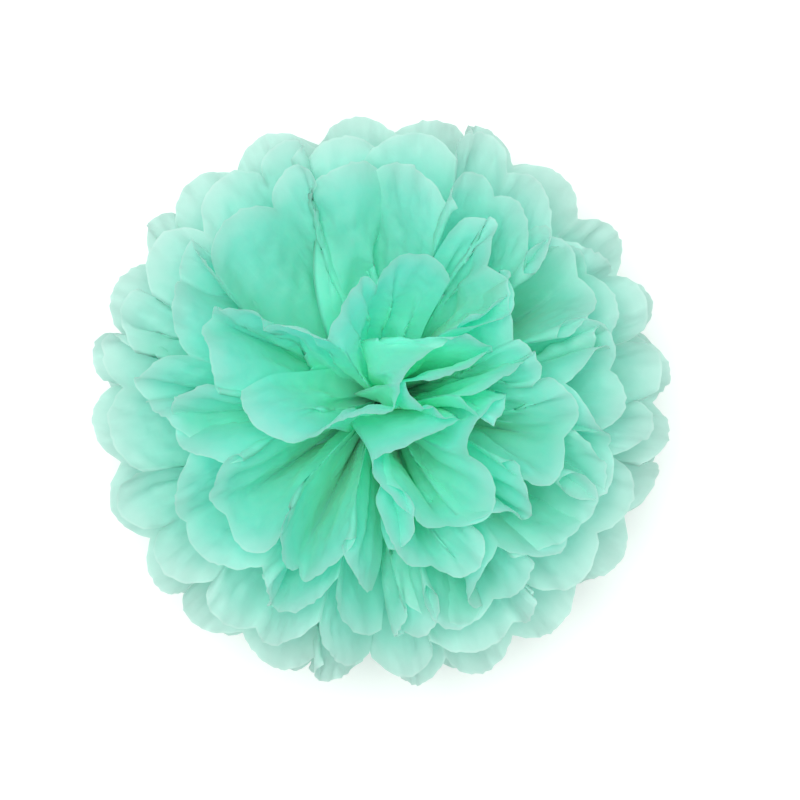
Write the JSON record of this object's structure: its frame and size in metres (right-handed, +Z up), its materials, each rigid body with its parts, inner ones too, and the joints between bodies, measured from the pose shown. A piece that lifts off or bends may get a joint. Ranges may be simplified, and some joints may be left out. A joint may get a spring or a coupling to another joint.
{
  "type": "tissue paper pom pom",
  "caption": "Hanging paper ball of stacked tissue sheets, pleated, tied at the waist with one wire and opened into rounded petals; rests face up on its lowest petals.",
  "frame": {"origin": "on the table, straight below the tie", "axes": "+Z up through the heart of the petals; the pleats under the wire run along X; the wire's twisted tail points along +Y"},
  "size_m": [0.2452, 0.2434, 0.2112],
  "materials": {
    "tissue": "dry mint green tissue, thin enough to glow",
    "wire": "galvanised florist wire"
  },
  "bodies": {
    "root": {"tissue_sheet_01": "tissue", "tissue_sheet_02": "tissue", "tissue_sheet_03": "tissue", "tissue_sheet_04": "tissue", "tissue_sheet_05": "tissue", "tissue_sheet_06": "tissue", "tissue_sheet_07": "tissue", "tissue_sheet_08": "tissue", "tissue_sheet_09": "tissue", "tissue_sheet_10": "tissue", "tie_wire": "wire"}
  },
  "joints": []
}
